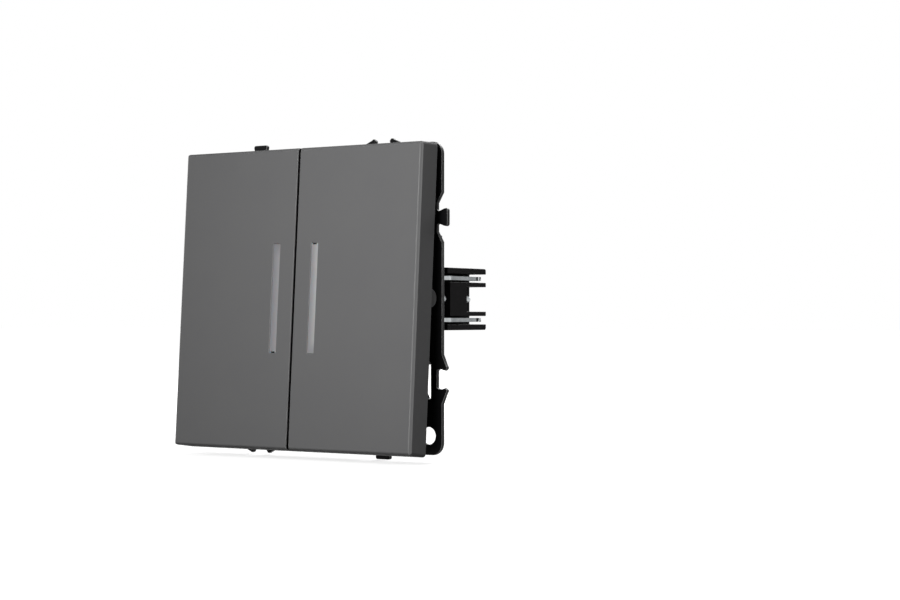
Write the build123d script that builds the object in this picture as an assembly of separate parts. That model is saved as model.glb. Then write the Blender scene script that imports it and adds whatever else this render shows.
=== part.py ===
from build123d import *
import math
import os

os.makedirs("parts", exist_ok=True)

# Two-gang light switch. X is to the right, Z is up and the keys face -Y.
# The origin is the middle of the fixing plate's rear face.

# Clearances
run_fit = 0.05
part_gap = 0.3
seat_fit = 0.1

# Sizes that set the rest: the wall box's screw circle, and half the body's width and height
box_hole_pcd = 60.0
body_mid_w = 22.0
body_half_h = 24.4

# Middle of each gang
gang_inset = 7.8
gang_x = body_mid_w - gang_inset

# Fixing plate
plate_rim = 5.0
plate_side = box_hole_pcd + 2 * plate_rim
edge = plate_side / 2
end_rim = 0.5
plate_thick = 1.0
plate_corner = 2.8
corner_hole_d = 4.0
corner_hole_inset = 3.85
corner_hole_at = edge - corner_hole_inset
box_hole_d = 3.6
link_offset = 18.3
link_reach = 1.5
link_half = 5.6
link_flat = 3.2
link_depth = 1.4
link_fit = 0.15
tongue_root = 2.8
tongue_end = 4.1
tongue_round = 0.5

# Bridges pressed forward out of the plate beside its edges
strip_w = 3.2
slot_w = 3.6
slot_z = (14.4, 22.8)
bridge_w = 2.8
bridge_rise = 1.9
bridge_z = (14.2, 15.7, 19.9, 22.6)

# Ribbed pegs that take a cover frame
peg_inset = 5.5
peg_x = edge - peg_inset
peg_z = (edge - 9.8, edge - 7.3)
peg_neck_r = 0.55
peg_rib_r = 0.9
peg_reach = 1.7
peg_pad = 0.4

# Keys, which tilt about one line along X
key_pair = plate_side
seam_gap = 0.6
key_drop = 0.32
key_flare = 0.4
key_depth = 6.1
key_face = 1.5
key_wall = 1.3
seam_depth = 3.4
key_bevel = 0.55
key_end_bevel = 0.45
key_seam_bevel = 0.15
key_round = 0.8
pivot_y = -4.3
key_front = 6.73
key_y = pivot_y - key_front
rest_tilt = 3.8
lug_r = 2.08
lug_inset = 0.6

# Light bars let into the keys
bar_inset = 8.6
bar_x = gang_x - bar_inset
bar_w = 1.9
bar_len = 25.4
bar_recess = 0.15
bar_flange = 0.65
bar_flange_t = 0.9

# Rockers, which clip into the keys and carry the sprung plungers
rocker_half_w = 5.5
rocker_half_h = 15.0
rocker_t = 1.8
post_len = 1.1
rocker_y = key_y + key_face + post_len
cheek_t = 1.6
cheek_r = 2.2
pin_r = 1.2
pin_reach = 1.3
stem_r = 2.5
stem_rear = 2.6
plunger_r = 1.55
plunger_bore_r = 1.6
nose_r = 1.1
plunger_tip = 7.3
plunger_seat = -0.6
bore_floor = -5.4
spring_r = 1.1
spring_wire = 0.45
spring_turns = 3

# Carrier, the front moulding: a nose through the plate and a round flange behind it
nose_wall = 1.6
nose_inset = 2.5
nose_w = 2 * (gang_x + rocker_half_w + part_gap + nose_wall)
nose_h = 2 * (body_half_h - nose_inset)
nose_front = -4.6
deck_t = 1.8
flange_reach = 5.8
flange_r = body_mid_w + flange_reach
flange_half_h = body_half_h + seat_fit
flange_t = 4.2
flange_lap = 4.2
bearing_rise = 1.2
bearing_t = 1.2
bearing_half = 3.6
driver_hole_d = 5.2
tab_z = (8.9, 14.4)
tab_t = 1.6
wave_r = 6.0

# Rear housing, which goes into a round wall box
body_front = flange_t + part_gap
body_rear = 12.9
body_r = flange_r - 0.4
body_top_w = body_mid_w - 1.5
mid_half_h = body_half_h - 9.2
side_block_t = 2.6
side_block_x = body_mid_w + side_block_t
side_block_y = 7.2
side_slope = (1.4, 4.6)
claw_recess_h = 5.9
recess_floor_x = body_mid_w - 1.4
cavity_half_w = body_mid_w - 3.8
cavity_half_h = mid_half_h - 0.6
cavity_rear = 11.9
pocket_half_w = body_mid_w - 10.0
tail_w = body_mid_w - 2.9
tail_rear = 20.4
tail_half_h = body_half_h - 8.9
slope_w = body_mid_w - 6.0
step_1 = (13.9, body_half_h - 2.4)
step_2 = (15.3, body_half_h - 4.0)
slope_end_y = 19.4

# Terminals, set from the tail's top
terminal_x = 9.0
terminal_half_w = 3.0
terminal_front = 13.7
terminal_floor = tail_half_h - 6.9
terminal_roof = tail_half_h - 1.0
terminal_bar_z = tail_half_h - 1.8
wire_hole_d = 3.4
wire_z = tail_half_h - 4.3
top_cap_w = body_mid_w - 6.0
top_cap_rear = 26.6
low_cap_w = 7.0
low_cap_rear = 24.0
low_cap_z = (tail_half_h - 7.2, tail_half_h - 1.6)
cap_wall = 1.4
cap_round = 0.5

# Contacts
seesaw_t = 0.8
seesaw_w = 4.2
seesaw_half = 9.4
seesaw_tilt = 9.0
seesaw_gap = 0.12
seesaw_y = plunger_tip + seesaw_gap + seesaw_t / 2
seesaw_pin_r = 0.6
contact_z = 8.3
contact_r = 1.2
contact_t = 0.6
strap_t = 0.6
bar_t = 0.8
strip_half_w = 2.3

# Claws, their screws and guides
claw_out = 2.2
claw_x = body_mid_w + claw_out
claw_y = 12.2
claw_t = 0.95
claw_half_h = 5.4
claw_inner_x = claw_x - 2.7
claw_base_x = claw_x + 1.1
claw_front_x = claw_x + 2.1
claw_tip_x = claw_x + 0.7
claw_tip_y = 30.3
claw_teeth_y = (15.4, 27.8)
claw_teeth = 20
tooth_depth = 0.35
notch_depth = 1.1
notch_w = 0.6
guide_half_h = 7.35
guide_end_round = 0.55
guide_rear = 31.9
guide_front_x = claw_x + 2.6
guide_rear_x = claw_x + 0.8
guide_wall = 1.1
guide_block_y = (14.2, 22.4)
guide_lip_z = (2.95, 4.0)
guide_flange_z = 6.0
screw_shank_r = 1.05
screw_head_r = 1.7
screw_flange_r = 2.85
screw_head_y = 6.0
screw_flange_y = (7.2, 8.1)
screw_end_y = 25.4
loop_y = (8.3, 11.0)
loop_half_h = 3.2
loop_half_w = 1.2
loop_t = 0.8

# Release levers, set from the tail's top
lever_hub_y = 15.4
lever_hub_z = tail_half_h + 1.4
lever_hub_r = 1.3
lever_half_w = 2.5
lever_len = 7.4
lever_rise = 4.85
lever_pin_r = 0.8
lever_pin_reach = 0.9
lever_open_z = tail_half_h + 0.8

# Indicator board
board_half_w = gang_x - rocker_half_w - part_gap - bearing_t - 2 * seat_fit
board_half_h = 9.0
board_t = 1.2
lamp_size = (2.8, 1.4, 3.2)


def block(x0, x1, y0, y1, z0, z1):
    """Box between two corners."""
    middle = Pos((x0 + x1) / 2, (y0 + y1) / 2, (z0 + z1) / 2)
    return middle * Box(x1 - x0, y1 - y0, z1 - z0)


def prism_x(points, x0, x1):
    """Outline of (y, z) points pushed along X."""
    wire = Wire.make_polygon([Vector(x0, a, b) for a, b in points], close=True)
    return extrude(Face(wire), amount=x1 - x0, dir=(1, 0, 0))


def prism_y(points, y0, y1):
    """Outline of (x, z) points pushed along Y."""
    wire = Wire.make_polygon([Vector(a, y0, b) for a, b in points], close=True)
    return extrude(Face(wire), amount=y1 - y0, dir=(0, 1, 0))


def prism_z(points, z0, z1):
    """Outline of (x, y) points pushed along Z."""
    wire = Wire.make_polygon([Vector(a, b, z0) for a, b in points], close=True)
    return extrude(Face(wire), amount=z1 - z0, dir=(0, 0, 1))


def rod_x(y, z, radius, x0, x1):
    """Round bar along X."""
    return Pos((x0 + x1) / 2, y, z) * Rot(0, 90, 0) * Cylinder(radius, x1 - x0)


def rod_y(x, z, radius, y0, y1):
    """Round bar along Y."""
    return Pos(x, (y0 + y1) / 2, z) * Rot(90, 0, 0) * Cylinder(radius, y1 - y0)


def turned_y(points, x, z):
    """Solid of revolution about a line along Y, from (radius, y) points."""
    wire = Wire.make_polygon([Vector(a, b, 0) for a, b in points], close=True)
    return Pos(x, 0, z) * revolve(Face(wire), axis=Axis.Y)


def ribbon(path, thick):
    """Closed outline of a strip of even thickness along a path of points."""
    left = []
    right = []
    for i, (a, b) in enumerate(path):
        before = path[max(i - 1, 0)]
        after = path[min(i + 1, len(path) - 1)]
        n1 = unit_normal(before if i else (a, b), (a, b) if i else after)
        n2 = unit_normal((a, b), after) if i + 1 < len(path) else n1
        scale = thick / 2 / (1 + n1[0] * n2[0] + n1[1] * n2[1])
        da = (n1[0] + n2[0]) * scale
        db = (n1[1] + n2[1]) * scale
        left.append((a + da, b + db))
        right.append((a - da, b - db))
    return left + right[::-1]


def unit_normal(start, end):
    """Unit normal of the line between two points."""
    da = end[0] - start[0]
    db = end[1] - start[1]
    length = math.hypot(da, db)
    return (-db / length, da / length)


def tipped(shape, y, z, angle):
    """Turn a shape about a line along X."""
    return Pos(0, y, z) * Rot(angle, 0, 0) * Pos(0, -y, -z) * shape


def both_ends(shape):
    """A shape with its copy below the middle."""
    return shape + mirror(shape, about=Plane.XY)


def both_sides(shape):
    """A shape with its copy across the middle."""
    return shape + mirror(shape, about=Plane.YZ)


def write_pair(shape, name):
    """Write a right-hand piece and its mirrored left-hand twin."""
    export_step(shape, f"parts/{name}_right.step")
    export_step(mirror(shape, about=Plane.YZ), f"parts/{name}_left.step")


# Fixing plate


def tongue_outline(c):
    """Dovetail tongue with a shoulder let into the edge on both sides, as (x, z) points."""
    end = edge + link_reach
    root = edge - link_depth
    lower = [
        (root - 0.1, c - link_flat),
        (root, c - link_flat),
        (root, c - tongue_root / 2 - 0.3),
        (root + 0.4, c - tongue_root / 2),
        (end - 1.1, c - tongue_end / 2 + 0.12),
    ]
    middle = tongue_end / 2 - tongue_round
    for i in range(4):
        angle = math.radians(30 * i)
        out = tongue_round * math.sin(angle)
        lower.append((end - tongue_round + out, c - middle - tongue_round * math.cos(angle)))
    return lower + [(x, 2 * c - z) for x, z in lower[::-1]]


def shoulder_cut(c):
    """Room beside a tongue for the next plate's hooks, as (x, z) points."""
    root = edge - link_depth
    lower = [(edge + 0.1, c - link_half), (edge, c - link_half), (root, c - link_flat)]
    return lower + [(x, 2 * c - z) for x, z in lower[::-1]]


def socket_cut(c):
    """Room between two hooks for the next plate's tongue, as (x, z) points."""
    half = tongue_end / 2 + link_fit
    root = edge - link_depth
    lower = [
        (edge + link_reach, c - half + 0.25),
        (edge + 0.75, c - half + 0.25),
        (edge - 0.3, c - half - 0.05),
        (root + 0.4, c - half - 0.05),
        (root, c - half + 0.3),
    ]
    return lower + [(x, 2 * c - z) for x, z in lower[::-1]]


def hooks_outline(c):
    """Two facing hooks before the room between them is cut, as (x, z) points."""
    end = edge + link_reach - link_fit
    lower = [
        (edge - 0.5, c - link_half),
        (edge, c - link_half),
        (end - 0.3, c - link_flat),
        (end, c - link_flat + 0.45),
        (end - 0.05, c - link_flat + 0.85),
        (end - 0.5, c - tongue_end / 2 - link_fit + 0.25),
    ]
    return lower + [(x, 2 * c - z) for x, z in lower[::-1]]


def bridge():
    """Upper right strip pressed forward out of the plate, over its slot."""
    mid = -plate_thick / 2
    a, b, c, d = bridge_z
    path = [
        (mid, slot_z[0] - 0.8),
        (mid, a),
        (mid - bridge_rise, b),
        (mid - bridge_rise, c),
        (mid, d),
        (mid, slot_z[1] + 0.4),
    ]
    x0 = edge - strip_w - slot_w
    return prism_x(ribbon(path, plate_thick), x0, x0 + bridge_w)


def bridge_slot():
    """Slot in the plate behind the upper right bridge."""
    x1 = edge - strip_w
    slot = block(x1 - slot_w, x1, -3, 1, *slot_z)
    return fillet(slot.edges().filter_by(Axis.Y), 0.4)


def make_plate():
    tall = edge + end_rim
    sheet = block(-edge, edge, -plate_thick, 0, -tall, tall)
    sheet = fillet(sheet.edges().filter_by(Axis.Y), plate_corner)
    half_w = nose_w / 2 + seat_fit
    half_h = nose_h / 2 + seat_fit
    window = block(-half_w, half_w, -3, 1, -half_h, half_h)
    sheet -= fillet(window.edges().filter_by(Axis.Y), 1.0)
    holes = corner_hole_at
    for sx in (-1, 1):
        sheet -= rod_y(sx * claw_x, 0, driver_hole_d / 2, -3, 1)
        for sz in (-1, 1):
            sheet -= rod_y(sx * holes, sz * holes, corner_hole_d / 2, -3, 1)
    spot = box_hole_pcd / 2
    for x, z in ((spot, 0), (-spot, 0), (0, spot), (0, -spot)):
        sheet -= rod_y(x, z, box_hole_d / 2, -3, 1)
    for turn, rise in ((0, 0), (-90, end_rim), (-180, 0), (-270, -end_rim)):
        sheet = linked_edge(sheet, Pos(0, 0, rise) * Rot(0, turn, 0))
    sheet -= both_sides(both_ends(bridge_slot()))
    return sheet + both_sides(both_ends(bridge()))


def linked_edge(sheet, place):
    """Plate with a tongue and a pair of hooks on one more edge."""
    c = link_offset
    sheet -= place * prism_y(shoulder_cut(c), -3, 1)
    sheet += place * prism_y(tongue_outline(c), -plate_thick, 0)
    sheet += place * prism_y(hooks_outline(-c), -plate_thick, 0)
    return sheet - place * prism_y(socket_cut(-c), -3, 1)


def make_catch():
    """Pad with two ribbed pegs, at the upper right of the plate."""
    face = -plate_thick
    end = face - peg_pad - peg_reach
    low, high = peg_z
    pad = block(
        peg_x - peg_rib_r, peg_x + peg_rib_r, face - peg_pad, face,
        low - peg_rib_r, high + peg_rib_r,
    )
    catch = fillet(pad.edges().filter_by(Axis.Y), peg_rib_r / 2)
    step = peg_reach / 5
    outline = [(0, face - peg_pad), (peg_neck_r, face - peg_pad)]
    for i in range(1, 5):
        radius = peg_rib_r if i % 2 else peg_neck_r
        outline.append((radius, face - peg_pad - i * step))
    outline += [(peg_rib_r, end + 0.2), (peg_neck_r, end), (0, end)]
    for z in peg_z:
        catch += turned_y(outline, peg_x, z)
    return catch


# Keys and what rides on them


def make_key():
    """Right-hand key with the face upright."""
    x0 = seam_gap / 2
    x1 = key_pair / 2
    half = key_pair / 2
    rear = key_y + key_depth
    wide = half + key_flare
    sides = [(key_y, -half), (rear, -wide), (rear, wide), (key_y, half)]
    shell = prism_x(sides, x0, x1)
    corners = [e for e in shell.edges() if is_corner(e, x1, half)]
    shell = Pos(0, 0, -key_drop) * (fillet(corners, key_round) - key_bevels(x0, x1, half))
    hollow = block(
        x0 + key_wall, x1 - key_wall, key_y + key_face, rear + 1,
        key_wall - half, half - key_wall,
    )
    shell -= hollow
    shell -= block(
        x0 - 1, x0 + key_wall + 0.1, key_y + seam_depth, rear + 1,
        key_wall - half, half - key_wall,
    )
    slot = bar_w / 2
    shell -= block(
        bar_x - slot, bar_x + slot, key_y - 1, key_y + key_face + 1,
        -bar_len / 2 - key_drop, bar_len / 2 - key_drop,
    )
    a = x1 - key_wall - lug_inset
    b = x1 - lug_inset
    shell += rod_x(pivot_y, 0, lug_r, a, b)
    shell += block(a, b, rear - 1.5, pivot_y, -lug_r, lug_r)
    shell += key_posts()
    return shell


def is_corner(line, x, z):
    """True for an outer corner line of a key, from its front to its rear."""
    middle = line.center()
    return abs(middle.X - x) < 0.01 and abs(middle.Z) > z and line.length < 2 * key_depth


def key_bevels(x0, x1, half):
    """Slivers taken off the front edges: wide outside, narrow at the seam."""
    front = key_y - 0.5
    over = half + 1
    outer = key_bevel
    slivers = prism_z(
        [(x1 - outer - 0.5, front), (x1 + 0.5, front), (x1 + 0.5, key_y + outer + 0.5)], -over, over
    )
    seam = key_seam_bevel
    slivers += prism_z(
        [(x0 + seam + 0.5, front), (x0 - 0.5, front), (x0 - 0.5, key_y + seam + 0.5)], -over, over
    )
    end = key_end_bevel
    ends = [(front, half - end - 0.5), (front, half + 0.5), (key_y + end + 0.5, half + 0.5)]
    return slivers + both_ends(prism_x(ends, x0 - 1, x1 + 1))


def key_posts():
    """Four posts inside the key that the rocker sits against."""
    posts = None
    for sx in (-1, 1):
        for sz in (-1, 1):
            x = gang_x + sx * (rocker_half_w - 1.4)
            z = sz * (rocker_half_h - 3)
            post = block(x - 0.8, x + 0.8, key_y + key_face - 0.3, rocker_y, z - 1.2, z + 1.2)
            posts = post if posts is None else posts + post
    return posts


def make_light_bar():
    """Right-hand light bar: face, flange behind the key's face and a spine."""
    half = bar_w / 2
    length = bar_len / 2
    seat = key_y + key_face
    bar = block(bar_x - half, bar_x + half, key_y + bar_recess, seat, -length, length)
    wide = half + bar_flange
    bar += block(
        bar_x - wide, bar_x + wide, seat, seat + bar_flange_t,
        -length - bar_flange, length + bar_flange,
    )
    spine = half - 0.3
    bar += block(
        bar_x - spine, bar_x + spine, seat + bar_flange_t, seat + 2 * bar_flange_t,
        1 - length, length - 1,
    )
    return Pos(0, 0, -key_drop) * bar


def make_rocker():
    """Right-hand rocker: plate, two cheeks with trunnions and a bored stem."""
    x0 = gang_x - rocker_half_w
    x1 = gang_x + rocker_half_w
    rear = rocker_y + rocker_t
    plate = block(x0, x1, rocker_y, rear, -rocker_half_h, rocker_half_h)
    rocker = fillet(plate.edges().filter_by(Axis.Y), 1.5)
    for a in (x0, x1 - cheek_t):
        rocker += rod_x(pivot_y, 0, cheek_r, a, a + cheek_t)
        rocker += block(a, a + cheek_t, rear - 0.5, pivot_y, -cheek_r, cheek_r)
        wide = cheek_r + 2.4
        foot = [(rear, -wide), (rear, wide), (pivot_y, cheek_r), (pivot_y, -cheek_r)]
        rocker += prism_x(foot, a, a + cheek_t)
    rocker += rod_x(pivot_y, 0, pin_r, x0 - pin_reach, x1 + pin_reach + 0.4) - block(
        x0 + 0.1, x1 - 0.1, pivot_y - 3, pivot_y + 3, -3, 3
    )
    rocker += rod_y(gang_x, 0, stem_r, rear - 0.5, stem_rear)
    rocker -= rod_y(gang_x, 0, plunger_bore_r, bore_floor, stem_rear + 1)
    return rocker


def make_plunger():
    """Right-hand plunger: guided collar and a rounded nose."""
    shoulder = stem_rear + 0.4
    outline = [(0, plunger_seat), (plunger_r, plunger_seat), (plunger_r, stem_rear), (nose_r, shoulder)]
    middle = plunger_tip - nose_r
    for i in range(0, 7):
        angle = math.radians(15 * i)
        outline.append((nose_r * math.cos(angle), middle + nose_r * math.sin(angle)))
    outline[-1] = (0, plunger_tip)
    return turned_y(outline, gang_x, 0)


def make_spring():
    """Right-hand coil spring between the bore's floor and the plunger."""
    length = plunger_seat - bore_floor - spring_wire
    path = Helix(pitch=length / spring_turns, height=length, radius=spring_r)
    coil = sweep(Plane(origin=path @ 0, z_dir=path % 0) * Circle(spring_wire / 2), path=path)
    return Pos(gang_x, bore_floor + spring_wire / 2, 0) * Rot(-90, 0, 0) * coil


# Carrier


def make_carrier():
    flange = rod_y(0, 0, flange_r, 0, flange_t)
    flange &= block(-flange_r, flange_r, 0, flange_t, -flange_half_h, flange_half_h)
    inner_w = body_mid_w + tab_t - flange_lap
    inner_h = flange_half_h - flange_lap
    opening = block(-inner_w, inner_w, -1, flange_t + 1, -inner_h, inner_h)
    flange -= fillet(opening.edges().filter_by(Axis.Y), 6.0)
    carrier = flange + make_nose()
    carrier -= both_sides(rod_y(claw_x, 0, driver_hole_d / 2, -8, flange_t + 1))
    carrier += both_sides(both_ends(make_tab()))
    return carrier - both_sides(edge_waves())


def make_nose():
    """Part of the carrier that stands through the plate's window."""
    half_w = nose_w / 2
    half_h = nose_h / 2
    nose = block(-half_w, half_w, nose_front, 0, -half_h, half_h)
    nose = fillet(nose.edges().filter_by(Axis.Y), 1.0)
    nose -= block(
        nose_wall - half_w, half_w - nose_wall, nose_front - 1, -deck_t,
        nose_wall - half_h, half_h - nose_wall,
    )
    window = rocker_half_w - cheek_t
    opening = block(gang_x - window, gang_x + window, -deck_t - 1, 1, -4.4, 4.4)
    nose -= both_sides(opening)
    nose += both_sides(make_bearings())
    return nose - both_sides(trunnion_room())


def make_bearings():
    """Pair of open bearings for the right-hand rocker's trunnions."""
    top = nose_front - bearing_rise
    outer = nose_w / 2
    inner = gang_x - rocker_half_w - part_gap
    pair = block(outer - nose_wall, outer, top, nose_front, -bearing_half, bearing_half)
    pair += block(outer - nose_wall, outer, nose_front, -deck_t, -bearing_half, bearing_half)
    return pair + block(inner - bearing_t, inner, top, -deck_t, -bearing_half, bearing_half)


def trunnion_room():
    """Open seats for the right-hand rocker's trunnions."""
    x0 = gang_x - rocker_half_w - part_gap - bearing_t - 0.1
    x1 = gang_x + rocker_half_w + pin_reach + 0.6
    room = pin_r + run_fit
    seat = rod_x(pivot_y, 0, room, x0, x1)
    return seat + block(x0, x1, nose_front - bearing_rise - 1, pivot_y, -room, room)


def make_tab():
    """Snap tab that reaches back along the housing to its side block."""
    low, high = tab_z
    return block(body_mid_w, body_mid_w + tab_t, flange_t - 1, side_block_y, low, high)


def edge_waves():
    """Shallow hollows in the flange's rear edge at the right side."""
    waves = rod_x(flange_t + 0.88 * wave_r, 0, wave_r, body_mid_w, flange_r + 1)
    for z, depth in ((6.1, 0.06), (18.6, 0.12)):
        wave = rod_x(flange_t + (1 - depth) * wave_r, z, wave_r, body_mid_w, flange_r + 1)
        waves += both_ends(wave)
    return waves


def make_board():
    half_w = board_half_w
    half_h = board_half_h
    board = block(-half_w, half_w, -deck_t - board_t, -deck_t, -half_h, half_h)
    return fillet(board.edges().filter_by(Axis.Y), 1.0)


def make_lamp():
    wide, deep, tall = lamp_size
    rear = -deck_t - board_t
    lamp = block(bar_x - wide / 2, bar_x + wide / 2, rear - deep, rear, -tall / 2, tall / 2)
    return chamfer(lamp.faces().sort_by(Axis.Y)[0].edges(), 0.25)


# Rear housing


def housing_outline():
    """Outline of the housing's main part before it is rounded, as (x, z) points."""
    right = [
        (body_top_w, body_half_h),
        (body_top_w, mid_half_h),
        (body_mid_w, mid_half_h),
    ]
    right += [(x, -z) for x, z in right[::-1]]
    return right + [(-x, z) for x, z in right[::-1]]


def side_block():
    """Upper right block beside the claw, with a sloped upper part."""
    dx, dz = side_slope
    outline = [
        (body_mid_w, claw_recess_h),
        (side_block_x, claw_recess_h),
        (side_block_x, mid_half_h - dz),
        (side_block_x - dx, mid_half_h),
        (body_mid_w, mid_half_h),
    ]
    return prism_y(outline, side_block_y, body_rear)


def housing_tail():
    """Rear of the housing, with stepped and sloped shoulders."""
    tail = block(-tail_w, tail_w, body_rear, tail_rear, -tail_half_h, tail_half_h)
    shoulder = [
        (body_rear, tail_half_h),
        (body_rear, step_1[1]),
        step_1,
        (step_1[0], step_2[1]),
        step_2,
        (slope_end_y, tail_half_h),
    ]
    return tail + both_ends(prism_x(shoulder, -slope_w, slope_w))


def terminal_room(x):
    """Upper terminal chamber, the lever's opening and the pin's seats."""
    half = terminal_half_w
    wall = 1.0
    room = [
        (terminal_front, terminal_floor),
        (terminal_front, step_2[1] - wall),
        (step_2[0] - 0.3, step_2[1] - wall),
        (slope_end_y - 0.6, terminal_roof),
        (tail_rear + 1, terminal_roof),
        (tail_rear + 1, terminal_floor),
    ]
    cut = prism_x(room, x - half, x + half)
    gap = lever_half_w + part_gap
    cut += block(x - gap, x + gap, lever_hub_y - 0.2, tail_rear + 1, lever_open_z, step_1[1] + 1)
    reach = lever_half_w + lever_pin_reach + 0.1
    cut += rod_x(lever_hub_y, lever_hub_z, lever_pin_r + run_fit, x - reach, x + reach)
    slot = strip_half_w + 0.2
    low = terminal_bar_z - strap_t / 2 - 0.2
    cut += block(x - slot, x + slot, cavity_rear - 1, terminal_front + 1, low, low + strap_t + 0.4)
    return cut


def make_housing():
    main = prism_y(housing_outline(), body_front, body_rear)
    main &= rod_y(0, 0, body_r, body_front, body_rear)
    main += both_sides(both_ends(side_block()))
    recess = block(
        recess_floor_x, side_block_x + 1, side_block_y, body_rear + 1,
        -claw_recess_h, claw_recess_h,
    )
    main -= both_sides(recess)
    head_room = block(
        body_mid_w - 0.6, body_mid_w + 1, screw_head_y - 0.4, side_block_y + 1, -2.4, 2.4
    )
    main -= both_sides(head_room)
    body = main + housing_tail()
    w = cavity_half_w
    h = cavity_half_h
    body -= block(-w, w, body_front - 1, cavity_rear, -h, h)
    p = pocket_half_w
    pocket = block(-p, p, body_front - 1, cavity_rear, h + 1.6, body_half_h - 1.6)
    body -= both_ends(pocket)
    body -= terminal_room(terminal_x)
    body -= terminal_room(-terminal_x)
    body -= mirror(terminal_room(0), about=Plane.XY)
    stop = block(
        gang_x - seesaw_w / 2, gang_x + seesaw_w / 2,
        seesaw_stop(), cavity_rear, -contact_z - 0.5, 0.5 - contact_z,
    )
    return body + both_sides(stop)


def seesaw_stop():
    """Depth of the stop behind the seesaw's lower end."""
    angle = math.radians(seesaw_tilt)
    reach = (contact_z + 0.5) * math.tan(angle)
    return seesaw_y + seesaw_t / 2 / math.cos(angle) + reach + part_gap / 2


def make_top_cap():
    """Cap over the two upper terminals, with a funnelled hole for each wire."""
    low = terminal_floor - 1.0
    cap = block(-top_cap_w, top_cap_w, tail_rear, top_cap_rear, low, tail_half_h)
    cap = fillet(cap.faces().sort_by(Axis.Y)[-1].edges(), cap_round)
    panel = block(
        top_cap_w - 0.5, top_cap_w + 1, tail_rear + 1.3, top_cap_rear - 2.4,
        low + 1.3, tail_half_h - 1.0,
    )
    cap -= both_sides(panel)
    for x in (-terminal_x, terminal_x):
        cap -= wire_room(x, wire_z, top_cap_rear)
    return cap


def wire_room(x, z, rear):
    """Wire chamber of a cap with its funnelled hole."""
    half = terminal_half_w
    inner = rear - cap_wall
    room = block(x - half, x + half, tail_rear - 1, inner, terminal_floor, terminal_roof)
    radius = wire_hole_d / 2
    hole = rod_y(x, z, radius, inner - 1, rear + 1)
    start = rear - cap_round
    cone = [(0, start), (radius, start), (radius + cap_round, rear), (0, rear)]
    return room + hole + turned_y(cone, x, z)


def make_low_cap():
    """Cap over the lower terminal, made upside up and turned over."""
    low, high = low_cap_z
    cap = block(-low_cap_w, low_cap_w, tail_rear, low_cap_rear, low, high)
    cap = fillet(cap.faces().sort_by(Axis.Y)[-1].edges(), cap_round)
    half = terminal_half_w
    inner = low_cap_rear - cap_wall
    cap -= block(-half, half, tail_rear - 1, inner, low + 0.7, high - 0.7)
    radius = wire_hole_d / 2
    cap -= rod_y(0, wire_z, radius, inner - 1, low_cap_rear + 1)
    start = low_cap_rear - cap_round
    cone = [(0, start), (radius, start), (radius + 0.4, low_cap_rear), (0, low_cap_rear)]
    cap -= turned_y(cone, 0, wire_z)
    return mirror(cap, about=Plane.XY)


# Contacts


def make_seesaw():
    """Right-hand contact seesaw at its rest tilt."""
    half = seesaw_w / 2
    front = seesaw_y - seesaw_t / 2
    rear = seesaw_y + seesaw_t / 2
    bar = block(gang_x - half, gang_x + half, front, rear, -seesaw_half, seesaw_half)
    reach = half + part_gap + bar_t + 0.2
    bar += rod_x(seesaw_y, 0, seesaw_pin_r, gang_x - reach, gang_x - half)
    bar += rod_x(seesaw_y, 0, seesaw_pin_r, gang_x + half, gang_x + reach)
    bar += rod_y(gang_x, contact_z, contact_r, rear, rear + contact_t)
    return tipped(bar, seesaw_y, 0, seesaw_tilt)


def make_fixed_contact():
    """Right-hand fixed contact: button, cross strip and terminal blade."""
    front = cavity_rear - strap_t
    half = strip_half_w
    low = terminal_bar_z - strap_t / 2
    high = terminal_bar_z + strap_t / 2
    far = gang_x + contact_r + 0.6
    strip = block(terminal_x - half, far, front, cavity_rear, high - 1.8, high)
    near = gang_x - contact_r - 0.6
    strip += block(near, far, front, cavity_rear, contact_z - contact_r - 0.3, high)
    strip += block(terminal_x - half, terminal_x + half, front, tail_rear - part_gap, low, high)
    strip += rod_y(gang_x, contact_z, contact_r, front - contact_t, front)
    return strip


def make_common_bar():
    """Bar that carries both seesaws, with a blade to the lower terminal."""
    front = cavity_rear - bar_t
    clear = seesaw_w / 2 + part_gap
    span = gang_x + clear + bar_t
    bar = block(-span, span, front, cavity_rear, -1.6, 1.6)
    room = seesaw_pin_r + run_fit
    for x in (-gang_x, gang_x):
        for side in (-1, 1):
            a = x + side * (clear + bar_t / 2)
            post = block(a - bar_t / 2, a + bar_t / 2, seesaw_y - 0.9, front, -1.6, 1.6)
            post -= rod_x(seesaw_y, 0, room, a - 1, a + 1)
            post -= block(a - 1, a + 1, seesaw_y - 2, seesaw_y, -room, room)
            bar += post
    half = strip_half_w
    low = terminal_bar_z - strap_t / 2
    high = terminal_bar_z + strap_t / 2
    bar += block(-half, half, front, cavity_rear, -high, -1.6)
    bar += block(-half, half, front, tail_rear - part_gap, -high, -low)
    return bar


def make_clamp_spring(x):
    """Leaf spring of an upper terminal, folded back on itself."""
    t = 0.4
    floor = terminal_floor + t / 2
    path = [
        (tail_rear - 0.6, floor),
        (terminal_front + 1.6, floor),
        (terminal_front + 0.8, floor + 0.7),
        (terminal_front + 0.8, floor + 1.9),
        (terminal_front + 1.6, floor + 2.7),
        (tail_rear - 1.6, terminal_bar_z - strap_t / 2 - 0.5),
    ]
    half = strip_half_w - 0.1
    return prism_x(ribbon(path, t), x - half, x + half)


# Claws


def guide_edge(y):
    """How far out the guide's sloping edge is at a depth."""
    share = (y - body_rear) / (guide_rear - body_rear)
    return guide_front_x + (guide_rear_x - guide_front_x) * share


def guide_side(start, end):
    """Outline of a guide's wall between two depths, as (x, y) points."""
    return [(tail_w, start), (guide_edge(start), start), (guide_edge(end), end), (tail_w, end)]


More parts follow.
